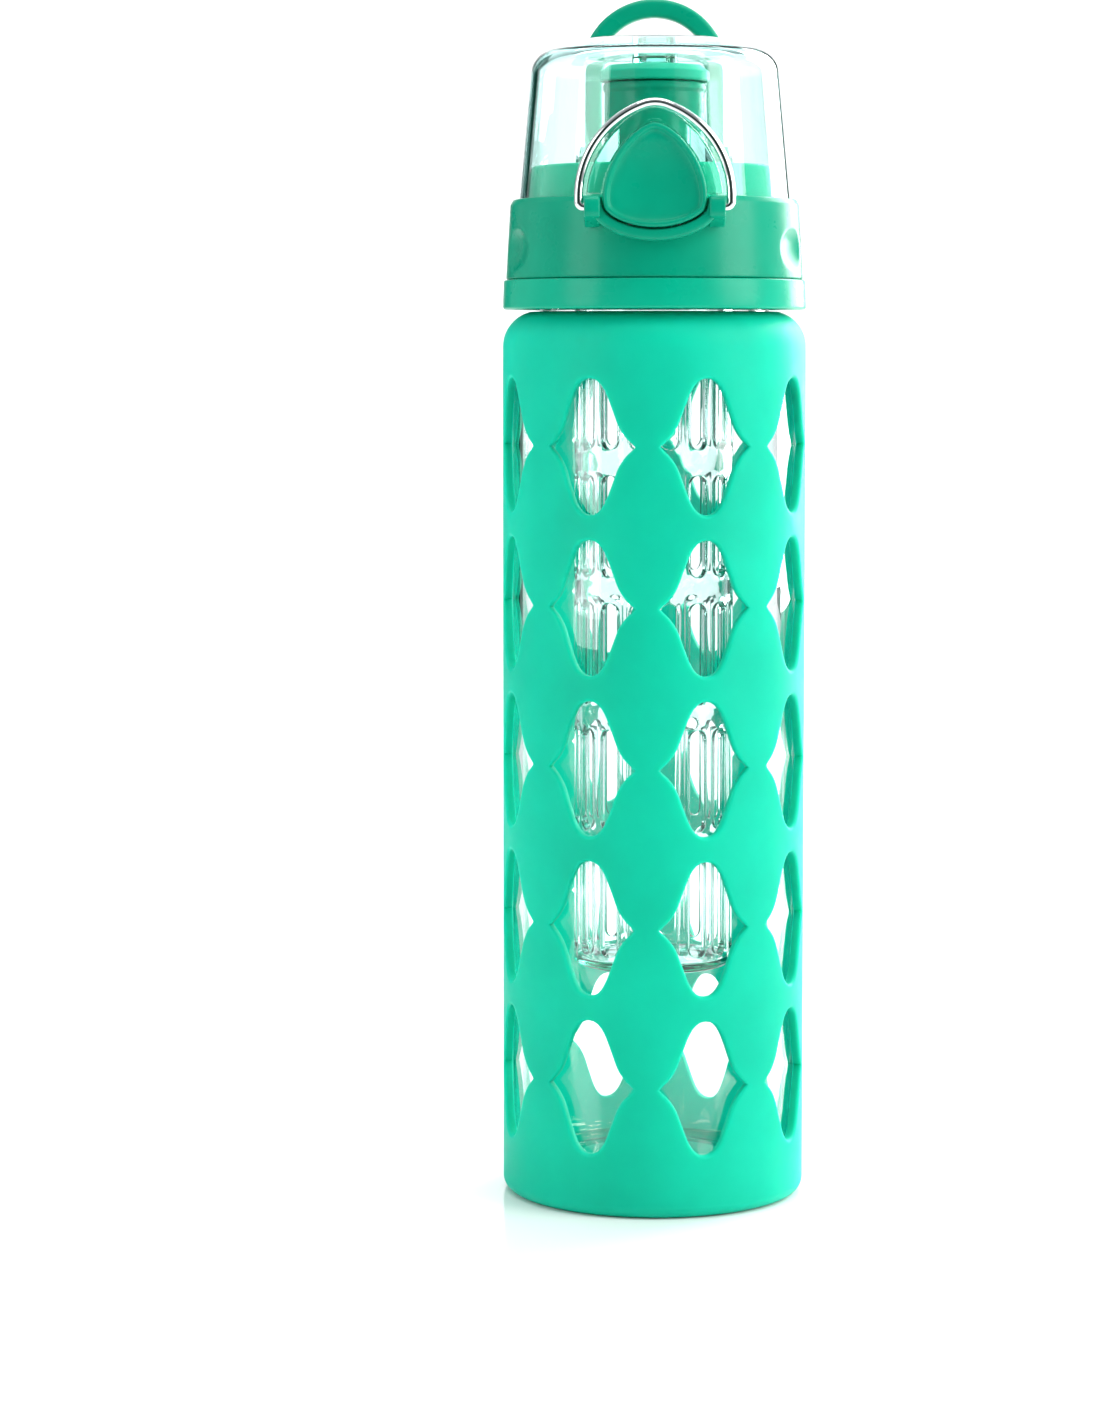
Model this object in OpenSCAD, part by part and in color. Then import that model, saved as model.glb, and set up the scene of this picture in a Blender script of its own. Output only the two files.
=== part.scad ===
// Fruit-infuser glass bottle in a windowed silicone sleeve, with a flip-top screw lid.
// Upright on its base at z = 0, axis on Z, latch toward -Y, hinge toward +Y.

/* [Sleeve] */
// Outside radius of the silicone sleeve
sleeve_r = 35.5; // [35.2:0.1:36.4]
// Wall of the silicone sleeve
sleeve_wall = 2.2; // [1.8:0.1:2.3]
// Height of the lowest row of windows above the table
row_z = 30.0; // [26:0.5:32]
// Distance from one row of windows to the next
row_pitch = 36.7; // [34:0.1:37]
// Rows of windows
rows = 5; // [1:1:5]
// Windows round the sleeve
columns = 8; // [4:1:9]
// Turn of the window pattern about the axis, from straight front
window_turn = -2.4; // [-22:0.1:22]

/* [Bottle] */
// Outside radius of the glass neck
neck_r = 26.9; // [26.6:0.1:27.0]
// Bore radius of the glass neck
neck_bore_r = 24.3; // [24.0:0.1:24.8]
// Height of the mouth of the bottle
mouth_z = 229.8; // [229.4:0.1:229.9]
// Rise of the neck thread for one turn of the lid
thread_pitch = 4.0; // [3.8:0.1:4.2]

/* [Lid] */
// Depth of the four finger scoops in the collar
scoop_depth = 1.6; // [1:0.1:1.9]
// Outside radius of the drinking spout
spout_r = 12.05; // [11:0.05:12.4]
// Bore radius of the drinking spout
spout_bore_r = 8.5; // [7.9:0.1:9]

/* [Infuser] */
// Outside radius of the infuser tube
infuser_r = 18.7; // [17:0.1:18.8]
// Wall of the infuser tube
infuser_wall = 1.7; // [1.2:0.1:2]
// Pairs of opposite slots in each tier
slot_pairs = 8; // [4:1:9]
// Width of a slot
slot_w = 4.2; // [2:0.1:4.4]

/* [Dome] */
// Wall of the clear flip dome
dome_wall = 1.6; // [1.2:0.1:1.7]
// Height of the crown of the dome
dome_top = 271.0; // [270:0.1:272]

/* [Hinge, loop and latch] */
// Radius of the hinge barrel
barrel_r = 2.85; // [2.6:0.05:2.9]
// Radius of the hinge pin
pin_r = 1.0; // [0.8:0.05:1.1]
// Radial running clearance on the hinge pin and in the bail holes
run_gap = 0.05; // [0.02:0.01:0.1]
// Outside radius of the carry loop
loop_r = 17.8; // [17:0.1:19]
// Width of the carry loop band
loop_band = 4.5; // [3:0.1:5]
// Wire radius of the bail
bail_wire_r = 1.0; // [0.8:0.05:1.05]
// Half width of the push button
button_a = 11.65; // [11.3:0.05:11.8]

/* [Hidden] */
$fn = 72;

hinge_y = 33.6;                      // hinge axis, parallel to X
hinge_z = 246.0;
bail_y = -37.2;                      // bail pivot axis, parallel to X
bail_z = 230.7;
bail_top = 254.0;                    // centreline of the bail at its top
bail_x = 17.1;                       // centreline of the bail legs
glass_r = sleeve_r - sleeve_wall - 0.1;
shoulder_z = 199.5;                  // where the body starts to round into the neck
button_z = 236.65;                   // middle of the button outline
button_b = 1.2;                      // swing of the rounded triangle
thread_start = mouth_z - 15.8;

// ---------- shared shapes ----------

function arc(cx, cy, r, a0, a1, n) = [for (i = [0:n]) [cx + r * cos(a0 + (a1 - a0) * i / n), cy + r * sin(a0 + (a1 - a0) * i / n)]];

// Rounded triangle of the button, grown by g on every side.
function tri_pt(g, f) = let (p = button_a + g + button_b * cos(3 * (f - 90)), s = 3 * button_b * sin(3 * (f - 90))) [p * cos(f) + s * sin(f), button_z + p * sin(f) - s * cos(f)];
function tri_outline(g, n = 48) = [for (i = [0:n - 1]) tri_pt(g, 360 * i / n)];

// Ogee diamond of a window: quarter outline, mirrored to four.
win_q = [[0, 15.5], [1.7, 15.1], [4.0, 12.2], [5.8, 7.6], [7.5, 3.6], [9.0, 1.6]];
win_out = concat(win_q, [[10.7, 0]], [for (i = [5:-1:0]) [win_q[i][0], -win_q[i][1]]], [for (i = [1:5]) [-win_q[i][0], -win_q[i][1]]], [[-10.7, 0]], [for (i = [5:-1:1]) [-win_q[i][0], win_q[i][1]]]);

// Pulls a flat outline in X-Z along Y from y0 to y1.
module along_y(y0, y1) translate([0, y1, 0]) rotate([90, 0, 0]) linear_extrude(y1 - y0) children();

// Pulls a flat outline in Y-Z along X from x0 to x1.
module along_x(x0, x1) translate([x0, 0, 0]) rotate([90, 0, 90]) linear_extrude(x1 - x0) children();

module rod_x(x0, x1, y, z, r) translate([x0, y, z]) rotate([0, 90, 0]) cylinder(r = r, h = x1 - x0);

module both_sides() { children(); mirror([1, 0, 0]) children(); }

// Screw ridge: four-cornered section on a helix, faded out at both ends.
module ridge(rb, rc, z0, pitch, turns, wb, wc, turn = 0, per = 24) {
    n = round(turns * per);
    function fade(i) = min(1, 0.15 + min(i, n - i) / 4);
    pts = [for (i = [0:n]) let (a = turn + 360 * i / per, z = z0 + pitch * i / per, c = rb + (rc - rb) * fade(i), w = wb + (wc - wb) * fade(i))
        each [[rb * cos(a), rb * sin(a), z - wb / 2], [c * cos(a), c * sin(a), z - w / 2], [c * cos(a), c * sin(a), z + w / 2], [rb * cos(a), rb * sin(a), z + wb / 2]]];
    sides = [for (i = [0:n - 1]) for (k = [0:3]) let (a = 4 * i + k, b = 4 * i + (k + 1) % 4) each [[a, b, b + 4], [a, b + 4, a + 4]]];
    ends = [[0, 3, 2], [0, 2, 1], [4 * n, 4 * n + 1, 4 * n + 2], [4 * n, 4 * n + 2, 4 * n + 3]];
    faces = concat(sides, ends);
    polyhedron(points = pts, faces = rc > rb ? faces : [for (f = faces) [f[0], f[2], f[1]]], convexity = 10);
}

// ---------- bottle ----------

module glass_bottle() color([0.85, 0.95, 0.92, 0.35]) {
    rotate_extrude() polygon(concat(
        [[0, 3.0], [20, 2.5], [25.5, 1.9], [28.9, 1.9]],
        arc(glass_r - 4.3, 6.2, 4.3, -67, 0, 4),
        arc(glass_r - 6.0, shoulder_z, 6.0, 0, 80, 6),
        [[neck_r, shoulder_z + 6.2], [neck_r, mouth_z - 0.7], [neck_r - 0.7, mouth_z], [neck_bore_r + 0.6, mouth_z], [neck_bore_r, mouth_z - 0.8]],
        [[neck_bore_r, shoulder_z + 6.6], [neck_bore_r + 0.6, shoulder_z + 5.0], [neck_bore_r + 2.1, shoulder_z + 4.0]],
        arc(glass_r - 6.0, shoulder_z, 3.8, 75, 0, 5),
        arc(glass_r - 8.2, 13.0, 6.0, 0, -90, 5),
        [[0, 8.2]]));
    ridge(neck_r - 0.5, neck_r + 1.6, thread_start, thread_pitch, 1.5, 2.2, 0.8);
}

module silicone_sleeve() color([0.0, 0.78, 0.62]) difference() {
    rotate_extrude() polygon(concat(
        [[0, 0], [24.0, 0], [24.5, 0.6], [27.5, 0.6], [28.0, 0]],
        arc(sleeve_r - 3.0, 3.0, 3.0, -90, 0, 5),
        arc(glass_r - 6.0, shoulder_z, sleeve_r - glass_r + 6.0, 0, 74, 6),
        [[29.3, shoulder_z + 7.7], [29.1, shoulder_z + 7.1]],
        arc(glass_r - 6.0, shoulder_z, 6.1, 66, 0, 5),
        arc(glass_r - 4.3, 6.2, 4.4, 0, -67, 4),
        [[28.9, 1.8], [25.5, 1.8], [0, 1.8]]));
    for (r = [0:rows - 1]) for (c = [0:columns - 1])
        rotate([0, 0, window_turn + 22.5 + 360 * c / columns]) translate([0, 0, row_z + r * row_pitch])
            along_y(-sleeve_r - 4, -20) polygon(win_out);
}

// ---------- lid ----------

module lid_gasket() color([0.9, 0.95, 0.93]) rotate_extrude() polygon([[24.0, mouth_z + 0.1], [27.4, mouth_z + 0.1], [27.4, 232.1], [24.6, 232.1], [24.0, 231.6]]);

module lid_insert() color([0.0, 0.68, 0.52]) {
    rotate_extrude() polygon([
        [28.9, 208.1], [34.9, 208.1], [sleeve_r, 208.7], [sleeve_r - 0.25, 215.0], [30.6, 215.0], [30.6, 225.8], [29.0, 226.8], [29.0, 232.0], [29.65, 232.7],
        [28.85, 240.8], [28.4, 241.3], [27.5, 241.3], [27.05, 240.8], [27.75, 235.0], [10.6, 235.0], [10.6, 232.2], [20.6, 232.2], [20.6, 216.4], [21.0, 216.0], [22.2, 216.0], [22.6, 216.4],
        [22.6, 232.2], [27.8, 232.2], [27.8, 225.4], [28.9, 224.2]]);
    ridge(29.4, 27.3, thread_start - 2, thread_pitch, 1.25, 2.0, 0.7);
    ridge(21.1, 19.4, 218.6, 3, 1.5, 1.6, 0.6);
}

module scoop(a) rotate([0, 0, a]) translate([0, -(34.15 + 21.5 - scoop_depth), 222.2]) rotate_extrude() translate([14, 0]) circle(r = 7.5);

module lid_collar() color([0.0, 0.7, 0.55]) difference() {
    union() {
        // grip ring with its ledge for the dome
        rotate_extrude() polygon([[30.7, 215.1], [34.5, 215.1], [34.7, 215.4], [33.75, 232.6], [33.2, 233.5], [32.6, 233.7], [32.1, 233.3], [32.1, 232.8], [29.75, 232.8], [29.75, 231.8], [30.7, 231.0]]);
        // raised wall of the rear half: slim at the sides, thick between the hinge posts
        intersection() {
            rotate_extrude() polygon([[30.2, 232.5], [31.6, 232.5], [31.6, 233.9], [30.95, 240.9], [30.7, 241.4], [30.35, 241.4], [30.2, 241.2]]);
            translate([-40, 2.4, 230]) cube([80, 40, 20]);
        }
        intersection() {
            rotate_extrude() polygon([[30.2, 232.5], [33.4, 232.5], [32.6, 241.0], [32.2, 241.4], [30.6, 241.4], [30.2, 241.0]]);
            translate([-12.6, 20, 230]) cube([25.2, 20, 20]);
        }
        // two hinge posts
        both_sides() along_x(8.6, 12.4) union() {
            polygon([[30.2, 232.2], [31.9, 220], [33.9, 220], [hinge_y + barrel_r - 0.25, 232], [hinge_y + barrel_r - 0.06, hinge_z], [hinge_y - barrel_r + 0.06, hinge_z], [30.9, 241.2]]);
            translate([hinge_y, hinge_z]) circle(r = barrel_r);
        }
        // pad and bezel round the lower part of the button
        intersection() {
            along_y(-37.6, -31.2) polygon(tri_outline(3.0));
            translate([-20, -40, 215]) cube([40, 12, 17.8]);
        }
        // ears that carry the bail
        both_sides() along_x(12.3, 15.85) polygon([[-31.5, 226.6], [-37.2, 228.2], [-38.2, 228.6], [-38.8, 229.4], [-38.9, 230.4], [-38.9, 231.4], [-38.6, 232.4], [-37.9, 233.0], [-37.0, 233.2], [-33.2, 233.2], [-31.5, 232.8]]);
    }
    for (a = [69, 111]) { scoop(a); scoop(-a); }
    // pocket of the button
    along_y(-42, -33.0) polygon(tri_outline(0.45));
    // chamber for the latch tongue and the arms
    translate([-6.4, -33.4, 228.3]) cube([12.8, 6.0, 10]);
    // bail holes and pin bore
    both_sides() rod_x(11.9, 17, bail_y, bail_z, bail_wire_r + run_gap);
    rod_x(-20, 20, hinge_y, hinge_z, pin_r + 0.02);
    // the wall stays clear of the bottle thread
    translate([0, 0, 200]) cylinder(r = 29.72, h = 60);
}

module spout() color([0.0, 0.66, 0.5]) rotate_extrude() polygon([
    [spout_bore_r, 232.3], [10.5, 232.3], [10.5, 235.1], [spout_r + 1.0, 235.1], [spout_r + 0.9, 235.9], [spout_r, 236.8], [spout_r - 0.35, 258.6], [spout_r, 259.2], [spout_r, 260.2], [spout_r - 0.6, 260.8], [spout_bore_r + 0.6, 260.8], [spout_bore_r, 260.2]]);

module hinge_pin() color([0.75, 0.76, 0.78]) {
    rod_x(-19.6, 19.6, hinge_y, hinge_z, pin_r);
    both_sides() rod_x(19.5, 20.2, hinge_y, hinge_z, pin_r + 0.7);
}

// Two close-wound torsion springs on the pin, each with a leg lying on the raised wall.
module hinge_springs() color([0.7, 0.71, 0.73]) both_sides() {
    for (i = [0:4]) translate([4.5 + 0.78 * i, hinge_y, hinge_z]) rotate([0, 90, 0]) rotate_extrude($fn = 36) translate([1.9, 0]) circle(r = 0.42, $fn = 16);
    translate([7.62, hinge_y - 1.9, 241.9]) cylinder(r = 0.4, h = 4.1, $fn = 16);
}

// Bowed leaf spring between the floor of the pocket and the back of the button.
module button_spring() color([0.75, 0.76, 0.78]) intersection() {
    translate([0, -18.36, 226.8]) difference() {
        cylinder(r = 16.14, h = 1.2);
        translate([0, 0, -1]) cylinder(r = 15.84, h = 4);
    }
    translate([-6.0, -36, 226]) cube([12.0, 5, 4]);
}

// ---------- infuser ----------

module infuser_ring() color([0.9, 0.95, 0.93]) rotate_extrude() polygon([[17.2, mouth_z + 0.1], [20.0, mouth_z + 0.1], [20.2, 230.3], [20.2, 231.9], [20.0, 232.1], [17.2, 232.1]]);

module infuser_basket() color([0.85, 0.97, 0.94, 0.35]) difference() {
    union() {
        rotate_extrude() polygon([[0, 53.9], [infuser_r - 1.2, 53.9], [infuser_r, 55.1], [infuser_r, mouth_z - 0.4], [infuser_r - 0.4, mouth_z], [infuser_r - infuser_wall, mouth_z], [infuser_r - infuser_wall, 56.4], [infuser_r - infuser_wall - 0.7, 55.7], [0, 55.7]]);
        ridge(infuser_r - 0.5, 20.2, 220.1, 3, 1.5, 1.6, 0.6);
    }
    for (t = [0:4]) for (c = [0:slot_pairs - 1])
        rotate([0, 0, 180 * (c + 0.5) / slot_pairs]) translate([0, 0, 69.1 + 29.6 * t]) along_y(-24, 24)
            polygon(concat(arc(0, 11.85 - slot_w / 2, slot_w / 2, 0, 180, 6), arc(0, slot_w / 2 - 11.85, slot_w / 2, 180, 360, 6)));
}

// ---------- dome ----------

dome_out = concat([[31.7, 233.0], [28.7, 264.2]], arc(22.9, 264.6, 5.8, 10, 80, 5), [[14, dome_top - 0.25], [0, dome_top]]);
dome_in = concat([[0, dome_top - dome_wall], [14, dome_top - dome_wall - 0.25]], arc(22.9, 264.6, 5.8 - dome_wall, 80, 10, 4), [[31.7 - dome_wall, 233.0]]);

module dome() color([0.85, 0.97, 0.94, 0.35]) difference() {
    union() {
        difference() {
            union() {
                rotate_extrude() polygon(concat(dome_out, [[0, 233.0]]));
                // arched shroud over the upper part of the button
                intersection() {
                    along_y(-34.9, -20) polygon(tri_outline(3.7));
                    translate([-20, -36, 234.0]) cube([40, 20, 30]);
                }
                // neck of the hinge knuckle
                along_x(-3.5, 3.5) polygon([[26, 243.6], [31.8, 243.6], [hinge_y, hinge_z - 2.6], [hinge_y + 2.0, hinge_z], [hinge_y, hinge_z + barrel_r - 0.1], [30.4, 253.5], [26, 256]]);
            }
            rotate_extrude() polygon(concat([[0, 232.9]], dome_in, [[31.7 - dome_wall, 232.9]]));
            // room for the button inside the shroud: the dome wall behind it stays
            difference() {
                along_y(-40, -20) polygon(tri_outline(0.5));
                rotate_extrude() polygon(concat(dome_out, [[0, 232.0], [31.7, 232.0]]));
            }
        }
        // boss that holds the spout seal
        translate([0, 0, 264.4]) cylinder(r = 5.3, h = 5.6);
        // latch tongue: the front of the wall reaches down into the lid
        intersection() {
            rotate_extrude() polygon([[31.7 - dome_wall, 228.9], [31.7, 228.9], [31.7, 233.6], [31.7 - dome_wall, 233.6]]);
            translate([-4, -36, 228]) cube([8, 10, 8]);
        }
        rod_x(-3.5, 3.5, hinge_y, hinge_z, barrel_r);
    }
    // the rear half of the skirt is cut off above the raised wall of the lid
    translate([-40, 2, 230]) cube([80, 34, 11.9]);
    // catch notches in the tongue
    both_sides() translate([3.2, -36, 229.9]) cube([3, 10, 2.3]);
    rod_x(-20, 20, hinge_y, hinge_z, pin_r + run_gap);
}

module spout_seal() color([0.0, 0.62, 0.47]) rotate_extrude() polygon([
    [0, 259.2], [5.6, 259.3], [7.2, 260.9], [12.3, 261.0], [12.75, 261.4], [12.75, 263.2], [10.6, 265.0], [5.5, 266.2], [5.4, 266.2], [5.4, 264.3], [0, 264.3]]);

// ---------- loop, bail and button ----------

module carry_loop() color([0.0, 0.7, 0.55]) difference() {
    union() {
        // upper half ring
        intersection() {
            translate([0, hinge_y, 265.6]) rotate([90, 0, 0]) rotate_extrude() polygon([
                [loop_r - loop_band + 0.6, -2.3], [loop_r - 0.9, -2.3], [loop_r, -1.4], [loop_r, 1.4], [loop_r - 0.9, 2.3], [loop_r - loop_band + 0.6, 2.3], [loop_r - loop_band, 1.7], [loop_r - loop_band, -1.7]]);
            translate([-30, 20, 265.6]) cube([60, 30, 30]);
        }
        both_sides() {
            translate([loop_r - loop_band, hinge_y - 2.3, hinge_z]) cube([loop_band, 4.6, 19.6]);
            rod_x(12.8, 19.2, hinge_y, hinge_z, barrel_r);
        }
    }
    rod_x(-25, 25, hinge_y, hinge_z, pin_r + run_gap);
}

module bail() color([0.8, 0.81, 0.83]) translate([0, bail_y, 0]) {
    rt = 8;
    h = bail_top - 233;
    rf = (pow(bail_x, 2) + pow(h - rt, 2) - rt * rt) / (2 * (bail_x - rt));
    a = atan2(h - rt, rf - bail_x);
    both_sides() {
        translate([bail_x - rf, 0, 233]) rotate([90, 0, 0]) rotate_extrude(angle = a) translate([rf, 0]) circle(r = bail_wire_r, $fn = 24);
        translate([bail_x, 0, 232]) cylinder(r = bail_wire_r, h = 1, $fn = 24);
        translate([bail_x - 1.3, 0, 232]) rotate([90, 0, 0]) rotate_extrude(angle = -90) translate([1.3, 0]) circle(r = bail_wire_r, $fn = 24);
        translate([12.5, 0, bail_z]) rotate([0, 90, 0]) cylinder(r = bail_wire_r, h = bail_x - 1.3 - 12.5, $fn = 24);
    }
    // beads over the two places where the arcs meet
    both_sides() translate([bail_x - rf + rf * cos(a), 0, 233 + rf * sin(a)]) rotate([0, -a, 0]) cylinder(r = bail_wire_r + 0.04, h = 0.3, center = true, $fn = 24);
    translate([0, 0, bail_top - rt]) rotate([90, 0, 0]) rotate([0, 0, a]) rotate_extrude(angle = 180 - 2 * a) translate([rt, 0]) circle(r = bail_wire_r, $fn = 24);
}

module button() color([0.0, 0.68, 0.52]) {
    difference() {
        along_y(-38.3, -34.6) polygon(tri_outline(0));
        along_y(-40, -37.4) polygon(tri_outline(-1.3));
        translate([0, -58.1, button_z - 0.4]) sphere(r = 21.6);
    }
    // two arms whose noses reach for the notches of the tongue
    both_sides() {
        translate([4.9, -34.8, 230.2]) cube([1.1, 4.3, 1.6]);
        translate([4.3, -31.4, 230.2]) cube([0.8, 0.9, 1.6]);
    }
}

// ---------- parts ----------

glass_bottle();
silicone_sleeve();
lid_gasket();
lid_insert();
lid_collar();
spout();
hinge_pin();
hinge_springs();
button_spring();
infuser_ring();
infuser_basket();
dome();
spout_seal();
carry_loop();
bail();
button();
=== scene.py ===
import bpy, bmesh, math
from mathutils import Vector, Matrix


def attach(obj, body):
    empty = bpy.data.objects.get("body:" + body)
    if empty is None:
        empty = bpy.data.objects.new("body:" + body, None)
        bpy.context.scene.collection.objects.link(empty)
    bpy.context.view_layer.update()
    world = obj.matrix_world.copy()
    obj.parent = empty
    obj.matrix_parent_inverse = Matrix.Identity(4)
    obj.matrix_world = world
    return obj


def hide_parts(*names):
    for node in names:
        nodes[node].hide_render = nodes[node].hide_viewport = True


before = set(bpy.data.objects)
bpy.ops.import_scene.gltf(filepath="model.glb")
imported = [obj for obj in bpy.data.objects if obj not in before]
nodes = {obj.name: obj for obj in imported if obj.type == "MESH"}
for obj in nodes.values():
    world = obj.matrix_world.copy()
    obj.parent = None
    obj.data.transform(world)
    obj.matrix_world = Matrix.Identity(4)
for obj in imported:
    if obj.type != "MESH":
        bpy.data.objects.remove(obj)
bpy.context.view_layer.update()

MM = 0.001
pi = math.pi


def rad(d):
    return math.radians(d)


# ------------------------------------------------------------------ node helpers

def new_mat(name):
    m = bpy.data.materials.new(name)
    m.use_nodes = True
    nt = m.node_tree
    nt.nodes.clear()
    return m, nt


def N(nt, kind, **vals):
    n = nt.nodes.new(kind)
    for k, v in vals.items():
        if hasattr(n, k):
            setattr(n, k, v)
        else:
            n.inputs[k].default_value = v
    return n


def setin(n, **vals):
    for k, v in vals.items():
        n.inputs[k.replace("_", " ")].default_value = v


def L(nt, a, b):
    nt.links.new(a, b)


def coords(nt):
    return N(nt, "ShaderNodeTexCoord").outputs["Object"]


def noise(nt, co, scale, detail=3.0, rough=0.5):
    n = nt.nodes.new("ShaderNodeTexNoise")
    n.inputs["Scale"].default_value = scale
    n.inputs["Detail"].default_value = detail
    n.inputs["Roughness"].default_value = rough
    L(nt, co, n.inputs["Vector"])
    return n.outputs["Fac"]


def ramp(nt, fac, a, b, ca, cb):
    r = nt.nodes.new("ShaderNodeMapRange")
    r.inputs["From Min"].default_value = a
    r.inputs["From Max"].default_value = b
    r.inputs["To Min"].default_value = ca
    r.inputs["To Max"].default_value = cb
    L(nt, fac, r.inputs["Value"])
    return r.outputs["Result"]


def mixcol(nt, fac, ca, cb):
    m = nt.nodes.new("ShaderNodeMix")
    m.data_type = "RGBA"
    m.inputs[6].default_value = (*ca, 1)
    m.inputs[7].default_value = (*cb, 1)
    L(nt, fac, m.inputs[0])
    return m.outputs[2]


def bevel_normal(nt, radius, bump=None, bump_strength=0.1, bump_dist=0.0001):
    b = nt.nodes.new("ShaderNodeBevel")
    b.samples = 4
    b.inputs["Radius"].default_value = radius
    if bump is None:
        return b.outputs["Normal"]
    u = nt.nodes.new("ShaderNodeBump")
    u.inputs["Strength"].default_value = bump_strength
    u.inputs["Distance"].default_value = bump_dist
    L(nt, bump, u.inputs["Height"])
    if radius > 0:
        L(nt, b.outputs["Normal"], u.inputs["Normal"])
    return u.outputs["Normal"]


def plastic(name, dark, light, rough=(0.22, 0.34), bevel=0.0, sss=0.0, coat=0.0, grain=900.0, bump=0.06, spec=0.5, sheen=0.0, glow=0.0):
    """Opaque plastic or silicone: soft blotches in colour and roughness, fine grain in the surface; glow adds a painted
    glow (emission), though the part is no lamp.
    """
    m, nt = new_mat(name)
    out = nt.nodes.new("ShaderNodeOutputMaterial")
    p = nt.nodes.new("ShaderNodeBsdfPrincipled")
    co = coords(nt)
    blot = noise(nt, co, 38.0, 4.0, 0.55)
    L(nt, mixcol(nt, ramp(nt, blot, 0.3, 0.7, 0.0, 1.0), dark, light), p.inputs["Base Color"])
    rn = noise(nt, co, 120.0, 3.0, 0.6)
    L(nt, ramp(nt, rn, 0.3, 0.7, rough[0], rough[1]), p.inputs["Roughness"])
    fine = noise(nt, co, grain, 2.0, 0.6)
    L(nt, bevel_normal(nt, bevel, fine, bump, 0.00012), p.inputs["Normal"])
    p.inputs["Specular IOR Level"].default_value = spec
    p.inputs["IOR"].default_value = 1.46
    if sss:
        p.inputs["Subsurface Weight"].default_value = sss
        p.inputs["Subsurface Radius"].default_value = (0.12, 1.0, 0.8)
        p.inputs["Subsurface Scale"].default_value = 0.0035
    if coat:
        p.inputs["Coat Weight"].default_value = coat
        p.inputs["Coat Roughness"].default_value = 0.12
    # painted glow: an emission colour that stands in for light shining through the silicone; the part is no lamp
    if glow:
        p.inputs["Emission Color"].default_value = (0.0, 0.60, 0.42, 1)
        p.inputs["Emission Strength"].default_value = glow
    if sheen:
        p.inputs["Sheen Weight"].default_value = sheen
        p.inputs["Sheen Roughness"].default_value = 0.4
    L(nt, p.outputs[0], out.inputs[0])
    return m


def clear(name, tint, ior, rough=(0.0, 0.02), density=12.0, absorb=(0.6, 1.0, 0.9), waves=60.0, bump=0.03, lamp=(0.93, 0.98, 0.97)):
    """Clear glass or plastic: refracts, soaks up a little light along its thickness, faintly uneven surface."""
    m, nt = new_mat(name)
    out = nt.nodes.new("ShaderNodeOutputMaterial")
    p = nt.nodes.new("ShaderNodeBsdfPrincipled")
    co = coords(nt)
    p.inputs["Base Color"].default_value = (*tint, 1)
    p.inputs["Transmission Weight"].default_value = 1.0
    p.inputs["IOR"].default_value = ior
    p.inputs["Specular IOR Level"].default_value = 0.5
    L(nt, ramp(nt, noise(nt, co, 70.0, 3.0), 0.35, 0.75, rough[0], rough[1]), p.inputs["Roughness"])
    u = nt.nodes.new("ShaderNodeBump")
    u.inputs["Strength"].default_value = bump
    u.inputs["Distance"].default_value = 0.0004
    L(nt, noise(nt, co, waves, 2.0), u.inputs["Height"])
    L(nt, u.outputs["Normal"], p.inputs["Normal"])
    # rays from lamps pass straight through, so that what is inside is lit
    path = nt.nodes.new("ShaderNodeLightPath")
    thru = nt.nodes.new("ShaderNodeBsdfTransparent")
    thru.inputs["Color"].default_value = (*lamp, 1)
    mix = nt.nodes.new("ShaderNodeMixShader")
    L(nt, path.outputs["Is Shadow Ray"], mix.inputs[0])
    L(nt, p.outputs[0], mix.inputs[1])
    L(nt, thru.outputs[0], mix.inputs[2])
    L(nt, mix.outputs[0], out.inputs["Surface"])
    v = nt.nodes.new("ShaderNodeVolumeAbsorption")
    v.inputs["Color"].default_value = (*absorb, 1)
    v.inputs["Density"].default_value = density
    L(nt, v.outputs[0], out.inputs["Volume"])
    return m


def metal(name, base, rough=(0.05, 0.12), aniso=0.0, grain=400.0, stretch=(1, 1, 1), bump=0.02):
    m, nt = new_mat(name)
    out = nt.nodes.new("ShaderNodeOutputMaterial")
    p = nt.nodes.new("ShaderNodeBsdfPrincipled")
    mp = nt.nodes.new("ShaderNodeMapping")
    mp.inputs["Scale"].default_value = stretch
    L(nt, coords(nt), mp.inputs["Vector"])
    p.inputs["Base Color"].default_value = (*base, 1)
    p.inputs["Metallic"].default_value = 1.0
    p.inputs["Anisotropic"].default_value = aniso
    g = noise(nt, mp.outputs[0], grain, 4.0, 0.6)
    L(nt, ramp(nt, g, 0.3, 0.7, rough[0], rough[1]), p.inputs["Roughness"])
    u = nt.nodes.new("ShaderNodeBump")
    u.inputs["Strength"].default_value = bump
    u.inputs["Distance"].default_value = 0.0001
    L(nt, g, u.inputs["Height"])
    L(nt, u.outputs["Normal"], p.inputs["Normal"])
    L(nt, p.outputs[0], out.inputs[0])
    return m


MINT_D, MINT_L = (0.001, 0.46, 0.30), (0.002, 0.54, 0.355)
GREEN_D, GREEN_L = (0.001, 0.255, 0.148), (0.001, 0.31, 0.182)
M_SLEEVE = plastic("silicone_mint", MINT_D, MINT_L, rough=(0.42, 0.54), sss=0.65, grain=1500, bump=0.05, spec=0.12, sheen=0.0)
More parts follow.
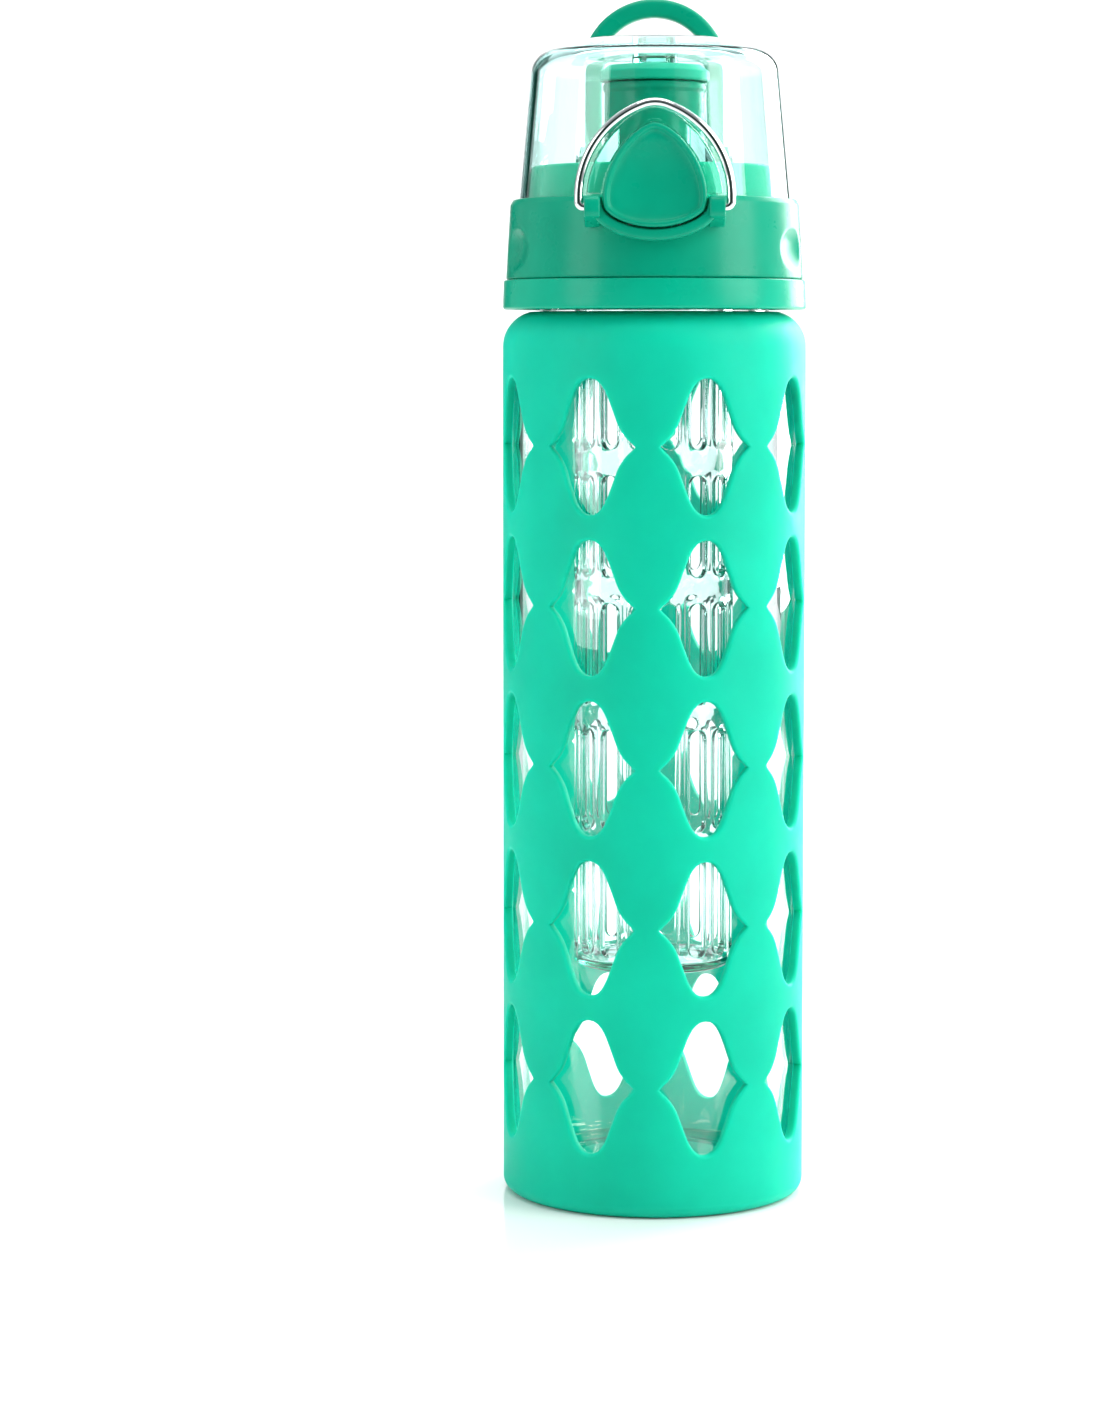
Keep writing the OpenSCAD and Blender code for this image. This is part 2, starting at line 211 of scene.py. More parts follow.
# inner face of the sleeve, with a painted glow (emission) standing in for the light behind it that shines through the
# silicone
M_SLEEVE_IN_PAINTED_GLOW = plastic("silicone_mint_inside_painted_glow", MINT_D, MINT_L, rough=(0.42, 0.54), grain=1500, bump=0.05, spec=0.1, glow=0.34)
M_GREEN = plastic("plastic_green", GREEN_D, GREEN_L, rough=(0.24, 0.34), coat=0.03, grain=700, bump=0.03, spec=0.16)
M_RING = plastic("plastic_green_ring", (0.001, 0.32, 0.19), (0.001, 0.385, 0.23), rough=(0.24, 0.34), coat=0.03, grain=700, bump=0.03, spec=0.16)
# darker copy of the green plastic for the spout: painted shade where the spout sits inside the dome
M_SPOUT_PAINTED_SHADE = plastic("plastic_green_spout_painted_shade", (0.001, 0.17, 0.098), (0.001, 0.215, 0.125), rough=(0.2, 0.3), coat=0.03, grain=700, bump=0.03, spec=0.16)
M_SEAL = plastic("silicone_green", (0.002, 0.27, 0.165), (0.003, 0.32, 0.20), rough=(0.36, 0.5), sss=0.05, grain=1300, bump=0.05, spec=0.2)
M_GASKET = plastic("silicone_white", (0.62, 0.72, 0.69), (0.70, 0.79, 0.76), rough=(0.4, 0.55), sss=0.2, grain=1300, bump=0.05)
M_GLASS = clear("bottle_glass", (1.0, 1.0, 1.0), 1.50, rough=(0.0, 0.012), density=14.0, absorb=(0.3, 0.95, 0.85), waves=45.0, bump=0.02)
M_CLEAR = clear("dome_plastic", (1.0, 1.0, 1.0), 1.46, rough=(0.0, 0.02), density=100.0, absorb=(0.2, 0.97, 0.88), waves=70.0, bump=0.02)
M_BASKET = clear("basket_plastic", (1.0, 1.0, 1.0), 1.46, rough=(0.01, 0.05), density=90.0, absorb=(0.25, 0.96, 0.85), waves=70.0, bump=0.03)
M_CHROME = metal("chrome_wire", (0.74, 0.76, 0.76), rough=(0.05, 0.11), grain=300, stretch=(1, 1, 0.2), bump=0.02)
M_STEEL = metal("spring_steel", (0.62, 0.63, 0.65), rough=(0.18, 0.32), aniso=0.4, grain=900, stretch=(0.2, 1, 1), bump=0.05)


# ------------------------------------------------------------------ mesh helpers (numbers in mm)

def to_obj(name, verts, faces, mat, smooth=35.0, merge=True):
    me = bpy.data.meshes.new(name)
    me.from_pydata([(x * MM, y * MM, z * MM) for x, y, z in verts], [], faces)
    bm = bmesh.new()
    bm.from_mesh(me)
    if merge:
        bmesh.ops.remove_doubles(bm, verts=bm.verts, dist=2e-6)
    bmesh.ops.recalc_face_normals(bm, faces=bm.faces)
    for e in bm.edges:
        e.smooth = not (len(e.link_faces) == 2 and e.calc_face_angle(0) > rad(smooth))
    for f in bm.faces:
        f.smooth = True
    bm.to_mesh(me)
    bm.free()
    o = bpy.data.objects.new(name, me)
    bpy.context.scene.collection.objects.link(o)
    me.materials.append(mat)
    return o


def join(name, parts):
    """One mesh out of several, all in the row frame."""
    me = bpy.data.meshes.new(name)
    bm = bmesh.new()
    for p in parts:
        bm.from_mesh(p.data)
    bm.to_mesh(me)
    bm.free()
    for m in parts[0].data.materials:
        me.materials.append(m)
    o = bpy.data.objects.new(name, me)
    bpy.context.scene.collection.objects.link(o)
    for p in parts:
        bpy.data.objects.remove(p)
    return o


def fillet(pts, closed=True, seg=5):
    """Rounds the corners of a profile. Each point is (a, b) or (a, b, radius)."""
    out, n = [], len(pts)
    for i, p in enumerate(pts):
        r = p[2] if len(p) > 2 else 0.0
        if r <= 0 or (not closed and i in (0, n - 1)):
            out.append((p[0], p[1]))
            continue
        P = Vector(p[:2])
        A = Vector(pts[i - 1][:2]) - P
        B = Vector(pts[(i + 1) % n][:2]) - P
        la, lb = A.length, B.length
        A.normalize(), B.normalize()
        ang = math.acos(max(-1, min(1, A.dot(B))))
        if ang > pi - 0.02 or ang < 0.02:
            out.append((p[0], p[1]))
            continue
        t = min(r / math.tan(ang / 2), la * 0.49, lb * 0.49)
        rr = t * math.tan(ang / 2)
        c = P + (A + B).normalized() * (rr / math.sin(ang / 2))
        s, e = P + A * t, P + B * t
        a0, a1 = math.atan2(s.y - c.y, s.x - c.x), math.atan2(e.y - c.y, e.x - c.x)
        d = (a1 - a0 + pi) % (2 * pi) - pi
        for k in range(seg + 1):
            a = a0 + d * k / seg
            out.append((c.x + rr * math.cos(a), c.y + rr * math.sin(a)))
    return out


def lathe(name, pts, mat, steps=160, closed=True, smooth=35.0, seg=5, axis=(0.0, 0.0)):
    prof = fillet(pts, closed, seg)
    verts, faces, m = [], [], len(prof)
    for i in range(steps):
        a = 2 * pi * i / steps
        for r, z in prof:
            verts.append((axis[0] + r * math.cos(a), axis[1] + r * math.sin(a), z))
    for i in range(steps):
        j = (i + 1) % steps
        for k in range(m if closed else m - 1):
            l = (k + 1) % m
            if prof[k][0] < 1e-6 and prof[l][0] < 1e-6:
                continue
            q = [i * m + k, j * m + k, j * m + l, i * m + l]
            if prof[k][0] < 1e-6:
                q = [i * m + k, j * m + l, i * m + l]
            elif prof[l][0] < 1e-6:
                q = [i * m + k, j * m + k, i * m + l]
            faces.append(q)
    return to_obj(name, verts, faces, mat, smooth)


def sweep(name, path, r, mat, sides=20, closed=False, smooth=40.0, cap=True):
    """Round wire along a path of points in mm."""
    P = [Vector(p) for p in path]
    n = len(P)
    tang = []
    for i in range(n):
        if closed:
            t = P[(i + 1) % n] - P[i - 1]
        else:
            t = P[min(i + 1, n - 1)] - P[max(i - 1, 0)]
        tang.append(t.normalized())
    u = tang[0].orthogonal().normalized()
    verts, faces = [], []
    for i in range(n):
        if i:
            u = u - tang[i] * u.dot(tang[i])
            u.normalize()
        w = tang[i].cross(u)
        rr = r
        for k in range(sides):
            a = 2 * pi * k / sides
            verts.append(tuple(P[i] + (u * math.cos(a) + w * math.sin(a)) * rr))
    for i in range(n if closed else n - 1):
        j = (i + 1) % n
        for k in range(sides):
            l = (k + 1) % sides
            faces.append([i * sides + k, i * sides + l, j * sides + l, j * sides + k])
    if cap and not closed:
        for end, i in ((0, 0), (1, n - 1)):
            c = P[i] + tang[i] * (r * 0.25 * (1 if end else -1))
            ring = len(verts)
            for k in range(sides):
                v = Vector(verts[i * sides + k])
                verts.append(tuple(P[i] + (v - P[i]) * 0.72 + tang[i] * (r * 0.2 * (1 if end else -1))))
            verts.append(tuple(c))
            for k in range(sides):
                l = (k + 1) % sides
                faces.append([i * sides + k, i * sides + l, ring + l, ring + k])
                faces.append([ring + k, ring + l, len(verts) - 1])
    return to_obj(name, verts, faces, mat, smooth, merge=False)


def loft(name, loops, mat, cap0=True, cap1=True, smooth=35.0, closed_path=False):
    """Skin over closed loops of equal length, with the ends filled."""
    verts, faces, m = [], [], len(loops[0])
    for lp in loops:
        verts += [tuple(p) for p in lp]
    n = len(loops)
    for i in range(n if closed_path else n - 1):
        j = (i + 1) % n
        for k in range(m):
            l = (k + 1) % m
            faces.append([i * m + k, i * m + l, j * m + l, j * m + k])
    if not closed_path:
        for i, on in ((0, cap0), (n - 1, cap1)):
            if on:
                c = sum((Vector(p) for p in loops[i]), Vector()) / m
                verts.append(tuple(c))
                for k in range(m):
                    faces.append([i * m + k, i * m + (k + 1) % m, len(verts) - 1])
    return to_obj(name, verts, faces, mat, smooth)


def tri(g, n=144, a=11.65, b=1.2, zc=236.65):
    """Outline of the button in X-Z, grown by g."""
    out = []
    for i in range(n):
        f = 2 * pi * i / n
        p = a + g + b * math.cos(3 * (f - pi / 2))
        s = 3 * b * math.sin(3 * (f - pi / 2))
        out.append((p * math.cos(f) + s * math.sin(f), zc + p * math.sin(f) - s * math.cos(f)))
    return out


def tri_level(x, z, a=11.65, b=1.2, zc=236.65):
    """Roughly how far a point lies outside the button's outline."""
    f = math.atan2(z - zc, x)
    best = -1e9
    for k in range(-6, 7):
        ff = f + k * 0.06
        p = a + b * math.cos(3 * (ff - pi / 2))
        best = max(best, x * math.cos(ff) + (z - zc) * math.sin(ff) - p)
    return best


def box_obj(name, lo, hi, mat, bevel=0.4, seg=3):
    bm = bmesh.new()
    bmesh.ops.create_cube(bm, size=1.0)
    for v in bm.verts:
        v.co = Vector(((lo[i] + hi[i]) / 2 + v.co[i] * (hi[i] - lo[i]) for i in range(3))) * MM
    bmesh.ops.bevel(bm, geom=list(bm.edges), offset=bevel * MM, segments=seg, profile=0.5, affect="EDGES")
    for f in bm.faces:
        f.smooth = True
    me = bpy.data.meshes.new(name)
    bm.to_mesh(me)
    bm.free()
    me.materials.append(mat)
    o = bpy.data.objects.new(name, me)
    bpy.context.scene.collection.objects.link(o)
    return o


def plate_x(name, poly, x0, x1, mat, bevel=0.35):
    """Outline in Y-Z pulled along X, with rounded rims."""
    c = Vector((sum(p[0] for p in poly) / len(poly), sum(p[1] for p in poly) / len(poly)))
    loops = []
    steps = 4
    for k in range(steps + 1):
        t = pi / 2 * k / steps
        loops.append((x0 + bevel * (1 - math.sin(t)), bevel * (1 - math.cos(t))))
    lo = [(x0 + bevel * (1 - math.sin(pi / 2 * k / steps)), bevel * (1 - math.cos(pi / 2 * k / steps))) for k in range(steps, -1, -1)]
    hi = [(x1 - bevel * (1 - math.sin(pi / 2 * k / steps)), bevel * (1 - math.cos(pi / 2 * k / steps))) for k in range(0, steps + 1)]
    seq = [(x0 + bevel * (1 - math.cos(pi / 2 * k / steps)), bevel * (1 - math.sin(pi / 2 * k / steps))) for k in range(0, steps + 1)]
    seq += [(x1 - bevel * (1 - math.cos(pi / 2 * k / steps)), bevel * (1 - math.sin(pi / 2 * k / steps))) for k in range(steps, -1, -1)]
    n = len(poly)
    rings = []
    for x, ins in seq:
        ring = []
        for i, p in enumerate(poly):
            P = Vector(p)
            a = (P - Vector(poly[i - 1])).normalized()
            b = (Vector(poly[(i + 1) % n]) - P).normalized()
            na, nb = Vector((a.y, -a.x)), Vector((b.y, -b.x))
            nn = (na + nb)
            nn = nn.normalized() / max(0.35, math.sqrt(max(1e-6, (1 + na.dot(nb)) / 2)))
            if (c - P).dot(nn) < 0:
                pass
            q = P - nn * ins * area_sign(poly)
            ring.append((x, q.x, q.y))
        rings.append(ring)
    return loft(name, rings, mat)


def area_sign(poly):
    s = 0.0
    for i, p in enumerate(poly):
        q = poly[(i + 1) % len(poly)]
        s += p[0] * q[1] - q[0] * p[1]
    return 1.0 if s > 0 else -1.0


def helix_ridge(name, rb, rc, z0, pitch, turns, wb, wc, mat, per=72):
    n = int(turns * per)
    loops = []
    for i in range(n + 1):
        a = 2 * pi * i / per
        z = z0 + pitch * i / per
        t = min(1.0, 0.02 + min(i, n - i) / 14.0)
        t = t * t * (3 - 2 * t)
        c = rb + (rc - rb) * t
        sec = [(rb, -wb / 2), (rb + (c - rb) * 0.5, -(wb + wc) / 4 - 0.05), (c - (c - rb) * 0.08, -wc / 2), (c, -wc / 4), (c, wc / 4), (c - (c - rb) * 0.08, wc / 2), (rb + (c - rb) * 0.5, (wb + wc) / 4 + 0.05), (rb, wb / 2)]
        loops.append([(r * math.cos(a), r * math.sin(a), z + dz) for r, dz in sec])
    return loft(name, loops, mat)


def boolean(a, b, op):
    """a with b joined to it or cut from it; b is used up."""
    m = a.modifiers.new("cut", "BOOLEAN")
    m.operation = op
    m.solver = "MANIFOLD"
    m.object = b
    dg = bpy.context.evaluated_depsgraph_get()
    me = bpy.data.meshes.new_from_object(a.evaluated_get(dg))
    a.modifiers.clear()
    old = a.data
    a.data = me
    bpy.data.meshes.remove(old)
    bpy.data.objects.remove(b)
    return a


def prism_y(name, g, y0, y1, mat, zmin=None, n=144, ease=0.0):
    """The button's outline grown by g, from y0 (front) to y1 (back); zmin cuts it level below."""
    loops = []
    seq = [(g - ease, y0), (g - ease * 0.3, y0 + ease * 0.3), (g, y0 + ease), (g, y1)] if ease else [(g, y0), (g, y1)]
    for gg, y in seq:
        loops.append([(x, y, z if zmin is None else max(z, zmin)) for x, z in tri(gg, n)])
    return loft(name, loops, mat)


def put(o, node, body):
    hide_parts(node)
    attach(o, body)
    return o


def dress(node, mat):
    me = nodes[node].data
    me.materials.clear()
    me.materials.append(mat)
    for p in me.polygons:
        p.material_index = 0


# ------------------------------------------------------------------ bottle glass

GR = 33.2
glass = lathe("glass_body", [
    (0, 3.0), (20, 2.5, 4), (25.5, 1.9, 1.0), (28.9, 1.9, 3.0), (GR, 4.4, 3.5), (GR, 205.6, 6.0), (26.9, 205.7, 0.9),
    (26.9, 229.8, 0.9), (24.3, 229.8, 0.9), (24.3, 203.7, 2.6), (31.0, 203.2, 3.4), (31.0, 7.0, 6.0), (25.0, 7.0, 2.0), (0, 8.2)],
    M_GLASS, steps=192, closed=False, smooth=50, seg=8)
ridge = helix_ridge("glass_thread", 26.85, 28.4, 214.0, 4.0, 1.5, 2.2, 0.8, M_GLASS)
glass = join("glass_bottle_body", [glass, ridge])
put(glass, "glass_bottle", "bottle")


# ------------------------------------------------------------------ silicone sleeve

def windowed(R0, R1, rows, cols, pitch, z0, turn, quarter, q, top, rim, bands, low0=None, k_out=7, k_in=5, sub=8):
    """Tube with rows of windows. Each cell runs from the rounded rim of its window out to the cell's straight edges."""
    half_w = 180.0 / cols
    half_h = pitch / 2
    low0 = low0 or half_h

    def resample(line, n):
        d = [0.0]
        for i in range(1, len(line)):
            d.append(d[-1] + (Vector(line[i]) - Vector(line[i - 1])).length)
        out = []
        for k in range(n + 1):
            t = d[-1] * k / n
            i = 1
            while i < len(d) - 1 and d[i] < t:
                i += 1
            f = (t - d[i - 1]) / (d[i] - d[i - 1])
            out.append(tuple(Vector(line[i - 1]).lerp(Vector(line[i]), f)))
        return out

    def smooth_line(line):
        ext = [(-line[1][0], line[1][1])] + line + [(2 * line[-1][0] - line[-2][0], 2 * line[-1][1] - line[-2][1])]
        out = []
        for i in range(1, len(ext) - 2):
            p0, p1, p2, p3 = (Vector(ext[i + j]) for j in (-1, 0, 1, 2))
            for t in (v / sub for v in range(sub)):
                out.append(tuple(0.5 * ((2 * p1) + (p2 - p0) * t + (2 * p0 - 5 * p1 + 4 * p2 - p3) * t * t + (3 * p1 - p0 - 3 * p2 + p3) * t ** 3)))
        out.append(line[-1])
        return out

    def four(line):
        return line[:-1] + [(x, -z) for x, z in line[::-1]][:-1] + [(-x, -z) for x, z in line][:-1] + [(-x, z) for x, z in line[::-1]][:-1]

    outline = four(resample(smooth_line(quarter) if sub > 1 else quarter, q))
    n = len(outline)

    def polar(x, R):
        return math.degrees(math.asin(max(-1, min(1, x / R))))

    border = four([(half_w * (k / top), half_h) for k in range(top)] + [(half_w, half_h * (1 - (k - top) / (q - top))) for k in range(top, q + 1)])

    def offset(d):
        out = []
        for i in range(n):
            P, A, B = Vector(outline[i]), Vector(outline[i - 1]), Vector(outline[(i + 1) % n])
            t = (B - A).normalized()
            nrm = Vector((-t.y, t.x))
            if nrm.dot(P) < 0:
                nrm = -nrm
            c = P + nrm * d
            out.append((0.0 if abs(P.x) < 1e-6 else c.x, 0.0 if abs(P.y) < 1e-6 else c.y))
        return out

    arc = [rad(22.5), rad(45), rad(67.5)]
    lip = [(0.3 * rim, R1), (0.09 * rim, R1 + 0.09 * rim), (0.0, R1 + 0.3 * rim), (0.0, R0 - rim)] + [(rim * (1 - math.cos(t)), R0 - rim * (1 - math.sin(t))) for t in arc] + [(rim, R0)]
    verts, faces = [], []
    for row in range(rows):
        zc = z0 + pitch * row
        bord = [(x, z * low0 / half_h) if (row == 0 and z < 0) else (x, z) for x, z in border]
        for col in range(cols):
            az = -90 + turn + half_w + 360.0 / cols * col

            def at(t, z, R):
                t = rad(az + t)
                return (R * math.cos(t), R * math.sin(t), zc + z)
            rings = []
            inner_edge = [(polar(x, R1), z) for x, z in offset(lip[0][0])]
            for k in range(k_in, 0, -1):
                f = k / k_in
                rings.append([at(a0 * (1 - f) + b0 * f, z1 * (1 - f) + b1 * f, R1) for (a0, z1), (b0, b1) in zip(inner_edge, bord)])
            for d, R in lip:
                rings.append([at(polar(x, R), z, R) for x, z in offset(d)])
            outer_edge = [(polar(x, R0), z) for x, z in offset(rim)]
            for k in range(1, k_out + 1):
                f = k / k_out
                rings.append([at(a0 * (1 - f) + b0 * f, z1 * (1 - f) + b1 * f, R0) for (a0, z1), (b0, b1) in zip(outer_edge, bord)])
            base = []
            for r in rings:
                base.append(len(verts))
                verts.extend(r)
            for i in range(len(base) - 1):
                for k in range(n):
                    l = (k + 1) % n
                    faces.append([base[i] + k, base[i] + l, base[i + 1] + l, base[i + 1] + k])
    # plain bands above and below, at the same angles as the borders of the cells
    angs = sorted(set(round((-90 + turn + half_w + 360.0 / cols * c + x) % 360, 5) for c in range(cols) for x, z in border if abs(z - half_h) < 1e-6))
    for prof in bands:
        m, b, na = len(prof), len(verts), len(angs)
        for t in angs:
            for r, z in prof:
                verts.append((r * math.cos(rad(t)), r * math.sin(rad(t)), z))
        for i in range(na):
            j = (i + 1) % na
            for k in range(m - 1):
                if prof[k][0] < 1e-6 and prof[k + 1][0] < 1e-6:
                    continue
                if prof[k][0] < 1e-6:
                    faces.append([b + i * m + k, b + j * m + k + 1, b + i * m + k + 1])
                elif prof[k + 1][0] < 1e-6:
                    faces.append([b + i * m + k, b + j * m + k, b + i * m + k + 1])
                else:
                    faces.append([b + i * m + k, b + j * m + k, b + j * m + k + 1, b + i * m + k + 1])
    return verts, faces


def bow(cx, cz, r, a0, a1, n):
    return [(cx + r * math.cos(rad(a0 + (a1 - a0) * k / n)), cz + r * math.sin(rad(a0 + (a1 - a0) * k / n))) for k in range(n + 1)]


def sleeve():
    R0, R1, sh = 35.5, 33.3, 199.5
    zt, zb = 30.0 + 4.5 * 36.7, 30.0 - 18.35
    up = [(R0, zt), (R0, zt + 2.0)] + bow(27.2, sh, 8.3, 0, 74, 13) + [(29.25, 207.6), (28.95, 207.45), (28.85, 207.1), (28.95, 206.3)]
    up += bow(27.2, sh, 6.1, 66, 0, 11) + [(R1, zt + 1.0), (R1, zt)]
    dn = [(R1, zb)] + bow(28.9, 6.2, 4.4, 0, -67, 8) + [(25.5, 1.8), (0, 1.8)]
    bt = [(R0, zb)] + bow(32.5, 3.0, 3.0, 0, -90, 9) + [(28.3, 0), (27.9, 0.15), (27.4, 0.6), (24.6, 0.6), (24.1, 0.15), (23.7, 0), (0, 0)]
    quarter = [(0, 15.5), (0.9, 15.4), (1.8, 15.02), (2.9, 14.05), (4.0, 12.2), (4.9, 10.0), (5.8, 7.6), (6.6, 5.4), (7.5, 3.6), (8.8, 1.85), (10.0, 0.7), (10.7, 0.0)]
    v, f = windowed(R0, R1, 5, 8, 36.7, 30.0, -2.4, quarter, 16, 7, 0.75, [up, dn, bt])
    return to_obj("sleeve_windowed", v, f, M_SLEEVE, smooth=60)


sleeve_obj = sleeve()
sleeve_obj.data.materials.append(M_SLEEVE_IN_PAINTED_GLOW)
# the inner faces of the sleeve take the material with the painted glow
for p in sleeve_obj.data.polygons:
    rad_out = Vector((p.center.x, p.center.y, 0.0))
    if rad_out.length < 33.45 * MM and p.normal.dot(rad_out.normalized()) < -0.5 and p.center.z > 5 * MM:
        p.material_index = 1
put(sleeve_obj, "silicone_sleeve", "bottle")


# ------------------------------------------------------------------ lid

def collar_shell():
    """Grip ring as a height field: taper, rounded rim, four scoops, and a flat seat behind the button."""
    prof = fillet([(30.75, 215.1), (34.5, 215.1, 0.3), (34.7, 215.5, 0.3), (33.75, 232.4, 0.8), (33.1, 233.6, 0.5), (32.3, 233.7, 0.5), (32.1, 232.8, 0.25), (29.8, 232.8, 0.2), (29.8, 231.6)], False, 4)
    # denser steps up the grip face
    dense = []
    for i, p in enumerate(prof[:-1]):
        dense.append(p)
        q = prof[i + 1]
        if q[1] - p[1] > 4:
            m = 40
            for k in range(1, m):
                dense.append((p[0] + (q[0] - p[0]) * k / m, p[1] + (q[1] - p[1]) * k / m))
    dense.append(prof[-1])
    steps = 480
    verts, faces, m = [], [], len(dense)
    D = 34.15 + 21.5 - 1.6
    for i in range(steps):
        th = 2 * pi * i / steps
        for r, z in dense:
            rr = r
            if r > 32.6 and 213 < z < 232.5:
                for s in (69, -69, 111, -111):
                    dl = (th - (rad(-90) + rad(s)) + pi) % (2 * pi) - pi
                    if abs(dl) < 0.5 and abs(z - 222.2) < 7.4:
                        Rz = 14 + math.sqrt(max(0.0, 7.5 ** 2 - (z - 222.2) ** 2))
                        h = Rz * Rz - (D * math.sin(dl)) ** 2
                        if h > 0:
                            e = D * math.cos(dl) - math.sqrt(h)
                            k = 0.35                      # soft lip where the scoop meets the face
                            t = max(0.0, min(1.0, 0.5 + 0.5 * (rr - e) / k))
                            rr = rr * (1 - t) + e * t - k * t * (1 - t)
            x, y = rr * math.cos(th), rr * math.sin(th)
            if y < -30 and abs(x) < 15:
                g = tri_level(x, z)
                if g < 1.6 and y < -32.9:
                    y = -32.9
                if abs(x) < 6.4 and z > 228.3:
                    y = max(y, -29.9)
            verts.append((x, y, z))
    for i in range(steps):
        j = (i + 1) % steps
        for k in range(m - 1):
            faces.append([i * m + k, j * m + k, j * m + k + 1, i * m + k + 1])
    return to_obj("collar_shell", verts, faces, M_GREEN, smooth=50)


def ring_sector(name, prof, a0, a1, mat, steps=120, round_end=0.5):
    loops = []
    cx = sum(p[0] for p in prof) / len(prof)
    cz = sum(p[1] for p in prof) / len(prof)
    for i in range(steps + 1):
        a = rad(a0 + (a1 - a0) * i / steps)
        loops.append([(r * math.cos(a), r * math.sin(a), z) for r, z in prof])
    return loft(name, loops, mat)


def bezel():
    """Half-round pad with a pocket for the button: ring between two outlines, cut level at its top."""
    n = 192
    top = 232.9
    idx = [i for i, p in enumerate(tri(1.7, n)) if p[1] < top - 0.0]
    # walk from the left top, under the button, to the right top
    first = next(i for i in idx if (i - 1) % n not in idx)
    order = [(first + k) % n for k in range(len(idx))]
    y_back, y_front = -31.0, -37.6
    sec = fillet([(0.45, y_back), (0.45, y_front, 0.45), (3.0, y_front, 0.9), (3.0, y_back)], False, 4)
    def clip(p, q):
        """Returns p unchanged; it does not find where the outline passes the level top."""
        return p
    outl = {}
    loops = []
    for i in order:
        loop = []
        for g, y in sec:
            if g not in outl:
                outl[g] = tri(g, n)
            x, z = outl[g][i]
            loop.append((x, y, min(z, top)))
        loops.append(loop)
    for side, i in ((0, order[0]), (-1, order[-1])):
        last = []
        for (g, y), (x0, y0, z0) in zip(sec, loops[side]):
            last.append((x0, y, top))
        if side == 0:
            loops.insert(0, last)
        else:
            loops.append(last)
    ring = loft("bezel_ring", loops, M_GREEN, smooth=50)
    # floor of the pocket, open where the latch chamber is
    fl = prism_y("bezel_floor", 0.6, -33.0, -32.6, M_GREEN)
    fl = boolean(fl, box_obj("above", (-26, -36, top), (26, -30, 262), M_GREEN, 0.02, 1), "DIFFERENCE")
    fl = boolean(fl, box_obj("chamber", (-6.4, -36, 228.3), (6.4, -30, 262), M_GREEN, 0.02, 1), "DIFFERENCE")
    return [ring, fl]


def collar():
    parts = [collar_shell()]
    # raised rear wall
    prof = fillet([(30.2, 232.6), (31.55, 232.6), (31.55, 233.9), (30.9, 241.4, 0.25), (30.2, 241.4, 0.2)], True, 3)
    a = math.degrees(math.asin(2.6 / 31.5))
    parts.append(ring_sector("rear_wall", prof, a, 180 - a, M_GREEN, 140))
    prof = fillet([(30.25, 232.6), (33.35, 232.6), (32.6, 241.4, 0.7), (30.25, 241.4, 0.5)], True, 4)
    parts.append(ring_sector("rear_block", prof, 67.2, 112.8, M_GREEN, 48))
    # hinge posts
    hy, hz, br = 33.6, 246.0, 2.85
    post = [(30.2, 232.2), (31.9, 220), (33.9, 220), (36.2, 231), (hy + br, 234), (hy + br, hz)]
    post += [(hy + br * math.cos(rad(t)), hz + br * math.sin(rad(t))) for t in range(10, 180, 10)]
    post += [(hy - br, hz), (30.9, 241.2)]
    for s in (-1, 1):
        x0, x1 = (8.6, 12.4) if s > 0 else (-12.4, -8.6)
        parts.append(plate_x("post", post, x0, x1, M_GREEN, 0.35))
        ear = fillet([(-31.5, 226.4), (-36.6, 228.0, 1.2), (-38.9, 228.6, 1.5), (-38.9, 233.2, 1.7), (-33.2, 233.2, 0.6), (-31.5, 232.6)], True, 6)
        x0, x1 = (12.3, 15.85) if s > 0 else (-15.85, -12.3)
        parts.append(plate_x("ear", ear, x0, x1, M_GREEN, 0.4))
    parts += bezel()
    return join("collar_moulding", parts)


put(collar(), "lid_collar", "lid")

insert = lathe("insert_ring", [
    (28.9, 208.1, 0.3), (35.5, 208.1, 0.7), (35.25, 215.0, 0.45), (30.6, 215.0), (30.6, 226.0, 0.5), (29.0, 226.8), (29.0, 232.0), (29.65, 232.7, 0.2),
    (28.85, 241.3, 0.7), (27.0, 241.3, 0.7), (27.75, 235.0, 0.5), (10.6, 235.0, 0.2), (10.6, 232.2), (20.6, 232.2), (20.6, 216.0, 0.4), (22.6, 216.0, 0.4), (22.6, 232.2), (27.8, 232.2), (27.8, 225.2, 0.4), (28.9, 224.2, 0.4)],
    M_RING, steps=192, closed=True, smooth=50)
insert = join("insert_moulding", [insert,
    helix_ridge("insert_thread", 29.0, 27.3, 212.0, 4.0, 1.25, 2.0, 0.7, M_RING),
    helix_ridge("skirt_thread", 20.7, 19.4, 218.6, 3.0, 1.5, 1.6, 0.6, M_RING)])
put(insert, "lid_insert", "lid")

spout = lathe("spout_tube", [
    (8.5, 232.3), (10.5, 232.3), (10.5, 235.1), (13.05, 235.1, 0.3), (12.95, 235.9, 0.5), (12.05, 236.9, 0.9), (11.7, 258.4, 0.4), (12.1, 259.2, 0.4), (12.05, 260.8, 0.8), (8.5, 260.8, 1.0)],
    M_SPOUT_PAINTED_SHADE, steps=128, closed=True, smooth=50)
put(spout, "spout", "lid")

gasket = lathe("gasket_ring", [(24.0, 229.9, 0.4), (27.4, 229.9, 0.4), (27.4, 232.1, 0.4), (24.3, 232.1, 0.5)], M_GASKET, steps=160)
put(gasket, "lid_gasket", "lid_seal")
ring2 = lathe("infuser_seal_ring", [(17.2, 229.9, 0.4), (20.1, 229.9, 0.5), (20.2, 231.0, 0.3), (20.1, 232.1, 0.5), (17.2, 232.1, 0.4)], M_GASKET, steps=128)
put(ring2, "infuser_ring", "infuser_seal")


